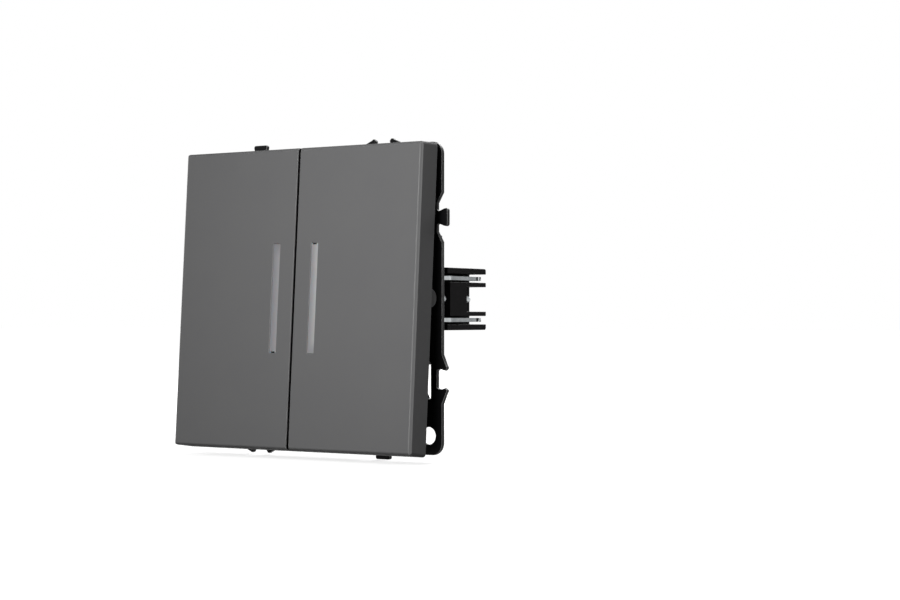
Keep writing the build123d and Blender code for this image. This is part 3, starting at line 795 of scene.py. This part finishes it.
def lathe(name: str, points: Sequence[tuple[float, float]], steps: int) -> bpy.types.Object:
    """Spin a profile about the Y axis.

    Args:
        name: Name of the new object.
        points: Radius and depth of each corner, in millimetres.
        steps: Steps round the axis.

    Returns:
        The closed body.
    """
    deselect()
    bpy.ops.mesh.primitive_plane_add(size=MM)
    piece = bpy.context.object
    piece.name = name
    edit_all(piece)
    bpy.ops.mesh.merge(type="CENTER")
    last = (0.0, 0.0)
    for i, (radius, depth) in enumerate(points):
        step = ((radius - last[0]) * MM, (depth - last[1]) * MM, 0.0)
        if i:
            bpy.ops.mesh.extrude_vertices_move(TRANSFORM_OT_translate={"value": step})
        else:
            bpy.ops.transform.translate(value=step)
        last = (radius, depth)
    bpy.ops.mesh.select_all(action="SELECT")
    bpy.ops.mesh.spin(steps=steps, angle=2 * math.pi, center=(0, 0, 0), axis=(0, 1, 0))
    bpy.ops.mesh.select_all(action="SELECT")
    bpy.ops.mesh.remove_doubles(threshold=MERGE_GAP)
    bpy.ops.mesh.normals_make_consistent(inside=False)
    deselect()
    return piece


def block_at(name: str, low: Point, high: Point) -> bpy.types.Object:
    """Add a box between two corners.

    Args:
        name: Name of the new object.
        low: Lowest corner in millimetres.
        high: Highest corner in millimetres.

    Returns:
        The box, with its place in its mesh.
    """
    deselect()
    middle = [(a + b) / 2 * MM for a, b in zip(low, high)]
    size = [(b - a) * MM for a, b in zip(low, high)]
    bpy.ops.mesh.primitive_cube_add(size=1, location=middle, scale=size)
    piece = bpy.context.object
    piece.name = name
    settle(piece)
    return piece


def rod_at(
    name: str, start: Point, radius: float, length: float, steps: int = 32
) -> bpy.types.Object:
    """Add a round bar along Y.

    Args:
        name: Name of the new object.
        start: Middle of its front end in millimetres.
        radius: Radius in millimetres.
        length: Length in millimetres.
        steps: Sides of the bar.

    Returns:
        The bar, with its place in its mesh.
    """
    deselect()
    x, y, z = start
    bpy.ops.mesh.primitive_cylinder_add(
        vertices=steps,
        radius=radius * MM,
        depth=length * MM,
        location=(x * MM, (y + length / 2) * MM, z * MM),
        rotation=(math.pi / 2, 0, 0),
    )
    piece = bpy.context.object
    piece.name = name
    settle(piece)
    return piece


def cut_away(piece: bpy.types.Object, cutters: Sequence[bpy.types.Object]) -> None:
    """Cut bodies out of a piece and remove them.

    Args:
        piece: Object that is cut.
        cutters: Closed bodies to take away from it.
    """
    for cutter in cutters:
        apply_modifier(
            piece,
            "BOOLEAN",
            {"operation": "DIFFERENCE", "object": cutter, "solver": "EXACT"},
        )
        bpy.data.objects.remove(cutter, do_unlink=True)


# Sub-assemblies


@dataclass
class SubAssembly:
    """A group of pieces that is built and dressed together."""

    pieces: list[str] = field(default_factory=list)

    def build(self) -> None:
        """Make the pieces of the group."""

    def finish_node(self, node: str, material: bpy.types.Material) -> None:
        """Keep a CAD node as it is and give it a better finish.

        Args:
            node: Name of the CAD node.
            material: Finish for it.
        """
        dress(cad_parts[node], material)
        self.pieces.append(node)

    def finish_copy(
        self,
        node: str,
        body: str,
        slot: str,
        material: bpy.types.Material,
        edge: EdgeRound,
        clamped: bool = False,
        cutters: Sequence[bpy.types.Object] = (),
    ) -> bpy.types.Object:
        """Stand a copy with rounded edges in for a CAD node.

        Args:
            node: Name of the CAD node.
            body: Body that the copy moves with.
            slot: Name of a material slot; not used.
            material: Finish for the copy.
            edge: How far its edges are rounded.
            clamped: Whether its shortest edge holds the rounding back.
            cutters: Closed bodies to take away before the rounding.

        Returns:
            The copy.
        """
        piece = softened(node, edge, clamped, cutters)
        dress(piece, material)
        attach(piece, body)
        self.pieces.append(piece.name)
        return piece


@dataclass
class Keys(SubAssembly):
    """The two keys with their light bars, rockers and plungers, sizes in millimetres."""

    bar_end_from: float = 11.0
    bar_face_band: float = 0.3
    nick_half_w: float = 0.55
    nick_depth: float = 0.32
    nick_past: float = 0.6
    nick_y: tuple[float, float] = (-1.0, 3.2)
    spring_x: float = 14.2
    spring_front_y: float = -5.4
    spring_keep: float = 0.89
    slide_axis: Point = (0.0, -0.9978, 0.06627)

    def nick(self, bar: bpy.types.Object, side: Side) -> None:
        """Cut the small gap that the moulding's gate leaves at one end of a bar.

        Args:
            bar: Finished copy of the light bar.
            side: Which key it sits in: low end on the left, high end on the right.
        """
        sign = side.value
        points = [v.co / MM for v in bar.data.vertices]
        tip = [p for p in points if p.z * sign > self.bar_end_from]
        front = min(p.y for p in tip)
        end = max(p.z * sign for p in tip if p.y < front + self.bar_face_band)
        span = sorted((sign * (end - self.nick_depth), sign * (end + self.nick_past)))
        x = sign * BAR_X
        low = (x - self.nick_half_w, front + self.nick_y[0], span[0])
        high = (x + self.nick_half_w, front + self.nick_y[1], span[1])
        cut_away(bar, [block_at("gate_nick", low, high)])

    def add_spring(self, side: Side, material: bpy.types.Material) -> None:
        """Put in a spring copied from its CAD node, which moves with its key.

        Args:
            side: Which plunger it pushes.
            material: Finish for it.
        """
        hand = side.word
        spring = merged_copy(f"plunger_spring_{hand}", f"plunger_spring_{hand}_wound")
        smooth(spring)
        dress(spring, material)
        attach(spring, f"key_{hand}")
        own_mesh(spring)
        self.pieces.append(spring.name)

    def build(self) -> None:
        """Dress both keys and what moves with them."""
        paint = ANTHRACITE.material()
        black = BLACK_NYLON.material()
        milky = MILKY_NYLON.material()
        wire = SPRING.material()
        lenses = {Side.LEFT: LENS_LEFT.material(), Side.RIGHT: LENS_RIGHT.material()}
        for side in Side:
            hand = side.word
            body = f"key_{hand}"
            self.finish_copy(
                f"key_{hand}", body, "key_plastic", paint, EdgeRound.PAINTED
            )
            bar = self.finish_copy(
                f"light_bar_{hand}",
                body,
                "light_plastic",
                lenses[side],
                EdgeRound.LENS,
                clamped=True,
            )
            self.nick(bar, side)
            self.finish_node(f"rocker_{hand}", black)
            self.finish_node(f"plunger_{hand}", milky)
            self.add_spring(side, wire)


@dataclass
class FixingPlate(SubAssembly):
    """The pressed steel plate and the pegs for a cover frame."""

    def build(self) -> None:
        """Dress the plate and its four pairs of pegs."""
        coat = BLACK_COAT.material()
        black = BLACK_NYLON.material()
        self.finish_copy(
            "mounting_plate", "base", "black_steel", coat, EdgeRound.COATED
        )
        for side in Side:
            for end in ("top", "bottom"):
                self.finish_node(f"frame_catch_{end}_{side.word}", black)


@dataclass
class Body(SubAssembly):
    """Carrier, rear housing, terminal caps and claw guides, sizes in millimetres."""

    cutter_past: float = 1.0
    rear_y: float = 20.4
    panel_half: tuple[float, float] = (12.5, 5.6)
    panel_middle_z: float = -0.3
    panel_depth: float = 0.25
    gauge: tuple[float, float, float, float] = (-5.5, 5.5, -1.0, 1.0)
    gauge_depth: float = 0.75
    pin_r: float = 1.3
    pin_depth: float = 0.18
    pin_places: tuple[tuple[float, float], ...] = (
        (-15.8, 5.0),
        (15.8, 5.0),
        (-15.8, -11.6),
        (15.8, -11.6),
    )
    cap_y: float = 26.6
    probe_r: float = 0.7
    probe_depth: float = 1.0
    probe_x: tuple[float, ...] = (-4.6, 4.6)
    probe_z: float = 11.2

    def rear_cutters(self) -> list[bpy.types.Object]:
        """Make the sunk panel, the wire gauge and the ejector marks of the rear face.

        Returns:
            Bodies to cut from the rear housing.
        """
        wide, tall = self.panel_half
        z = self.panel_middle_z
        out = self.rear_y + self.cutter_past
        floor = self.rear_y - self.panel_depth
        x0, x1, z0, z1 = self.gauge
        cutters = [
            block_at("sunk_panel", (-wide, floor, z - tall), (wide, out, z + tall)),
            block_at("wire_gauge", (x0, self.rear_y - self.gauge_depth, z0), (x1, out, z1)),
        ]
        for x, height in self.pin_places:
            place = (x, self.rear_y - self.pin_depth, height)
            cutters.append(rod_at("ejector_mark", place, self.pin_r, self.cutter_past))
        return cutters

    def probe_cutters(self) -> list[bpy.types.Object]:
        """Make the test probe holes of the upper cap.

        Returns:
            Bodies to cut from the cap.
        """
        start = self.cap_y - self.probe_depth
        length = self.probe_depth + self.cutter_past
        return [
            rod_at("probe_hole", (x, start, self.probe_z), self.probe_r, length)
            for x in self.probe_x
        ]

    def build(self) -> None:
        """Dress the black mouldings."""
        dry = BLACK_NYLON.material()
        sheen = HOUSING_NYLON.material()
        edge = EdgeRound.MOULDED
        cutters = {
            "carrier": [],
            "rear_housing": self.rear_cutters(),
            "terminal_cap_top": self.probe_cutters(),
            "terminal_cap_bottom": [],
        }
        for node, bodies in cutters.items():
            held = node in ("carrier", "rear_housing")
            self.finish_copy(node, "base", "black_plastic", sheen, edge, held, bodies)
        for side in Side:
            node = f"claw_guide_{side.word}"
            self.finish_copy(node, "base", "black_plastic", dry, edge)


@dataclass
class Inside(SubAssembly):
    """Indicator board, lamps and the metal of the contacts."""

    def build(self) -> None:
        """Dress what sits inside the body."""
        brass = BRASS.material()
        strip = SPRING.material()
        self.finish_node("indicator_board", LAMINATE.material())
        resin = LAMP_RESIN.material()
        for side in Side:
            self.finish_node(f"indicator_lamp_{side.word}", resin)
            self.finish_node(f"seesaw_{side.word}", brass)
            self.finish_node(f"fixed_contact_{side.word}", brass)
            self.finish_node(f"clamp_spring_top_{side.word}", strip)
        self.finish_node("common_bar", brass)
        self.finish_node("clamp_spring_bottom", strip)


@dataclass
class Levers(SubAssembly):
    """The three release levers of the terminals."""

    def build(self) -> None:
        """Dress two off-white levers and one red one."""
        milky = MILKY_NYLON.material()
        for side in Side:
            self.finish_copy(
                f"release_lever_top_{side.word}",
                f"lever_top_{side.word}",
                "white_plastic",
                milky,
                EdgeRound.PRESSED,
                clamped=True,
            )
        self.finish_copy(
            "release_lever_bottom",
            "lever_bottom",
            "red_plastic",
            RED_NYLON.material(),
            EdgeRound.PRESSED,
            clamped=True,
        )


@dataclass
class Claws(SubAssembly):
    """Spreading claws with their screws and looped straps, sizes in millimetres."""

    axis_x: float = 24.2
    head_y: float = 6.0
    head_r: float = 1.7
    dome_h: float = 0.85
    dome_steps: int = 6
    flange_y: tuple[float, float] = (7.2, 8.1)
    flange_r: float = 2.85
    flange_edge: tuple[float, float] = (0.18, 0.15)
    fillet: float = 0.12
    neck_r: float = 0.95
    core_r: float = 0.8
    core_taper: float = 0.15
    end_y: float = 25.4
    end_chamfer: float = 0.25
    turn_steps: int = 40
    thread_r: float = 1.05
    thread_y: tuple[float, float] = (12.8, 25.2)
    thread_lead: float = 0.3
    thread_sunk: float = 0.05
    thread_steps: int = 28
    flank_share: float = 0.42
    pitch: float = 0.62
    recess_reach: float = 1.15
    recess_half: float = 0.24
    recess_depth: float = 0.85
    recess_past: float = 1.0

    def screw_body(self, name: str) -> bpy.types.Object:
        """Turn the head, flange, neck and core of a screw about the Y axis.

        Args:
            name: Name of the new object.

        Returns:
            The body with its cross recess cut.
        """
        front, rear = self.flange_y
        front_edge, rear_edge = self.flange_edge
        head, flange, fillet = self.head_r, self.flange_r, self.fillet
        points = [(0.0, self.head_y)]
        for i in range(1, self.dome_steps + 1):
            angle = math.pi / 2 * i / self.dome_steps
            rise = self.dome_h * (1 - math.cos(angle))
            points.append((head * math.sin(angle), self.head_y + rise))
        points += [
            (head, front - fillet),
            (head + fillet, front),
            (flange - front_edge, front),
            (flange, front + front_edge),
            (flange, rear - rear_edge),
            (flange - rear_edge, rear),
            (self.neck_r + fillet, rear),
            (self.neck_r, rear + fillet),
            (self.neck_r, self.thread_y[0]),
            (self.core_r, self.thread_y[0] + self.core_taper),
            (self.core_r, self.end_y - self.end_chamfer),
            (self.core_r - self.end_chamfer, self.end_y),
            (0.0, self.end_y),
        ]
        body = lathe(name, points, self.turn_steps)
        start = self.head_y - self.recess_past
        floor = self.head_y + self.recess_depth
        reach, half = self.recess_reach, self.recess_half
        cut_away(
            body,
            [
                block_at("recess_across", (-reach, start, -half), (reach, floor, half)),
                block_at("recess_upright", (-half, start, -reach), (half, floor, reach)),
            ],
        )
        smooth(body, TURNED_ANGLE)
        return body

    def screw_thread(self, name: str) -> bpy.types.Object:
        """Wind a thread of triangular section about the Y axis.

        Args:
            name: Name of the new object.

        Returns:
            The closed thread.
        """
        start, end = self.thread_y
        turns = int((end - start) / self.pitch)
        root = self.core_r - self.thread_sunk
        half = self.flank_share * self.pitch
        deselect()
        bpy.ops.mesh.primitive_plane_add(size=MM)
        thread = bpy.context.object
        thread.name = name
        edit_all(thread)
        bpy.ops.mesh.merge(type="CENTER")
        first = (root * MM, (start + self.thread_lead) * MM, 0)
        bpy.ops.transform.translate(value=first)
        rise = ((self.thread_r - root) * MM, half * MM, 0)
        fall = ((root - self.thread_r) * MM, half * MM, 0)
        bpy.ops.mesh.extrude_vertices_move(TRANSFORM_OT_translate={"value": rise})
        bpy.ops.mesh.extrude_vertices_move(TRANSFORM_OT_translate={"value": fall})
        bpy.ops.mesh.select_all(action="SELECT")
        bpy.ops.mesh.edge_face_add()
        bpy.ops.mesh.delete(type="ONLY_FACE")
        deselect()
        apply_modifier(
            thread,
            "SCREW",
            {
                "axis": "Y",
                "angle": 2 * math.pi,
                "screw_offset": self.pitch * MM,
                "iterations": turns - 1,
                "steps": self.thread_steps,
                "render_steps": self.thread_steps,
                "use_smooth_shade": False,
            },
        )
        edit_all(thread)
        bpy.ops.mesh.fill_holes(sides=0)
        bpy.ops.mesh.select_all(action="SELECT")
        bpy.ops.mesh.normals_make_consistent(inside=False)
        deselect()
        smooth(thread, TURNED_ANGLE)
        return thread

    def add_screw(self, side: Side, material: bpy.types.Material) -> None:
        """Make one claw screw in place of its plain CAD node.

        Args:
            side: Which claw it works.
            material: Finish for it.
        """
        node = f"claw_screw_{side.word}"
        body = self.screw_body(f"{node}_turned")
        thread = self.screw_thread(f"{node}_thread")
        take(body)
        thread.select_set(True)
        bpy.ops.object.join()
        body.location = (side.value * self.axis_x * MM, 0, 0)
        settle(body)
        dress(body, material)
        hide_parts(node)
        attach(body, node)
        self.pieces.append(body.name)

    def build(self) -> None:
        """Dress the plated parts on both sides."""
        zinc = ZINC.material()
        toothed = CLAW_ZINC.material()
        blue = BLUE_ZINC.material()
        for side in Side:
            hand = side.word
            self.finish_copy(
                f"claw_{hand}", f"claw_{hand}", "zinc", toothed, EdgeRound.PRESSED, True
            )
            self.finish_copy(
                f"claw_loop_{hand}", "base", "blue_zinc", blue, EdgeRound.PRESSED
            )
            self.add_screw(side, zinc)


# Stage


@dataclass(frozen=True)
class SoftBox:
    """A soft lamp that looks at the object's middle."""

    name: str
    azimuth: float
    elevation: float
    distance: float
    width: float
    height: float
    level: float

    def hang(self) -> None:
        """Hang the lamp. A level of 1 lights a face square to it as its colour says."""
        a = math.radians(self.azimuth)
        e = math.radians(self.elevation)
        out = Vector((math.sin(a) * math.cos(e), -math.cos(a) * math.cos(e), math.sin(e)))
        data = bpy.data.lights.new(self.name, "AREA")
        data.shape = "RECTANGLE"
        data.size = self.width
        data.size_y = self.height
        data.energy = self.level * math.pi**2 * self.distance**2
        lamp = bpy.data.objects.new(self.name, data)
        lamp.location = out * self.distance
        lamp.rotation_euler = out.to_track_quat("Z", "Y").to_euler()
        lamp.visible_camera = False
        bpy.context.scene.collection.objects.link(lamp)


@dataclass
class Stage:
    """Pale floor, white surround, soft lamps and the camera, sizes in metres."""

    floor_size: float = 8.0
    floor_drop: float = 0.2 * MM
    floor_shade_at: tuple[float, float] = (0.05, 0.3)
    floor_shade: float = 0.78
    paper: str = "#adadad"
    paper_bounce: str = "#5c5c5c"
    ambient: float = 0.09
    lamps: tuple[SoftBox, ...] = (
        SoftBox("front_box", 15.5, 17.5, 0.183, 0.1, 0.1, 1.0),
        SoftBox("right_box", 120.0, 25.0, 0.8, 0.5, 0.5, 0.1),
        SoftBox("left_box", -95.0, 25.0, 0.8, 0.5, 0.5, 0.35),
        SoftBox("rear_box", 182.0, 32.0, 0.8, 0.5, 0.4, 1.15),
    )
    eye: Point = (0.29701, -0.37616, -0.0042)
    target: Point = (0.03653, -0.00006, -0.000398)
    lens: float = 81.16
    sensor: float = 36.0
    clip: tuple[float, float] = (0.01, 50.0)

    def build(self) -> None:
        """Set the stage round the object."""
        bpy.context.scene.view_settings.view_transform = "Standard"
        self.lay_floor()
        self.light_world()
        for lamp in self.lamps:
            lamp.hang()
        self.set_camera()

    def seen_directly(self, tree: bpy.types.NodeTree) -> Socket:
        """Make a socket that is 1 for rays from the eye, a mirror or glass.

        Args:
            tree: Tree of the world or the floor.

        Returns:
            The socket.
        """
        path = add_node(tree, "ShaderNodeLightPath")
        glossy = add_node(
            tree,
            "ShaderNodeMath",
            {"operation": "MAXIMUM"},
            {0: path.outputs["Is Camera Ray"], 1: path.outputs["Is Glossy Ray"]},
        )
        both = add_node(
            tree,
            "ShaderNodeMath",
            {"operation": "MAXIMUM"},
            {0: glossy.outputs["Value"], 1: path.outputs["Is Transmission Ray"]},
        )
        return both.outputs["Value"]

    def lay_floor(self) -> None:
        """Lay a pale floor under the object, white far out and shaded near it."""
        deselect()
        bpy.ops.mesh.primitive_plane_add(
            size=self.floor_size, location=(0, 0, CAD_BOX[0].z - self.floor_drop)
        )
        floor = bpy.context.object
        floor.name = "pale_floor"
        settle(floor)
        material, tree = Finish("pale_floor_paper").start()
        near, far_out = self.floor_shade_at
        place = add_node(tree, "ShaderNodeTexCoord").outputs["Object"]
        far = add_node(
            tree, "ShaderNodeVectorMath", {"operation": "LENGTH"}, {0: place}
        )
        share = add_node(
            tree,
            "ShaderNodeMapRange",
            {"From Min": near, "From Max": far_out, "To Min": self.floor_shade},
            {"Value": far.outputs["Value"]},
        )
        paper = add_node(tree, "ShaderNodeBsdfDiffuse", {"Color": linear(self.paper)})
        dim = add_node(
            tree, "ShaderNodeBsdfDiffuse", {"Color": linear(self.paper_bounce)}
        )
        glow = add_node(
            tree, "ShaderNodeEmission", links={"Strength": share.outputs["Result"]}
        )
        lit = add_node(
            tree,
            "ShaderNodeAddShader",
            links={0: paper.outputs["BSDF"], 1: glow.outputs["Emission"]},
        )
        mix = add_node(
            tree,
            "ShaderNodeMixShader",
            links={
                0: self.seen_directly(tree),
                1: dim.outputs["BSDF"],
                2: lit.outputs["Shader"],
            },
        )
        add_node(
            tree, "ShaderNodeOutputMaterial", links={"Surface": mix.outputs["Shader"]}
        )
        dress(floor, material)

    def light_world(self) -> None:
        """Make a white surround that adds only a low, even light to the object."""
        world = bpy.data.worlds.new("white_surround")
        bpy.context.scene.world = world
        world.use_nodes = True
        tree = world.node_tree
        tree.nodes.clear()
        even = add_node(
            tree, "ShaderNodeBackground", {"Strength": self.ambient, "Color": (1, 1, 1, 1)}
        )
        white = add_node(
            tree, "ShaderNodeBackground", {"Strength": 1.0, "Color": (1, 1, 1, 1)}
        )
        mix = add_node(
            tree,
            "ShaderNodeMixShader",
            links={
                0: self.seen_directly(tree),
                1: even.outputs["Background"],
                2: white.outputs["Background"],
            },
        )
        add_node(tree, "ShaderNodeOutputWorld", links={"Surface": mix.outputs["Shader"]})

    def set_camera(self) -> None:
        """Set the camera at the photograph's viewing angle."""
        data = bpy.data.cameras.new("product_camera")
        data.lens = self.lens
        data.sensor_width = self.sensor
        data.sensor_fit = "HORIZONTAL"
        data.clip_start, data.clip_end = self.clip
        camera = bpy.data.objects.new("product_camera", data)
        camera.location = self.eye
        look = Vector(self.target) - Vector(self.eye)
        camera.rotation_euler = look.to_track_quat("-Z", "Y").to_euler()
        bpy.context.scene.collection.objects.link(camera)
        bpy.context.scene.camera = camera


def main() -> None:
    """Build the sub-assemblies in order and report their pieces."""
    logging.basicConfig(level=logging.INFO, format="%(name)s: %(message)s")
    groups = [Keys(), FixingPlate(), Body(), Inside(), Levers(), Claws()]
    for group in groups:
        group.build()
        for name in group.pieces:
            LOG.info("%s: %s", type(group).__name__, name)
    Stage().build()
    deselect()


if __name__ == "__main__":
    main()
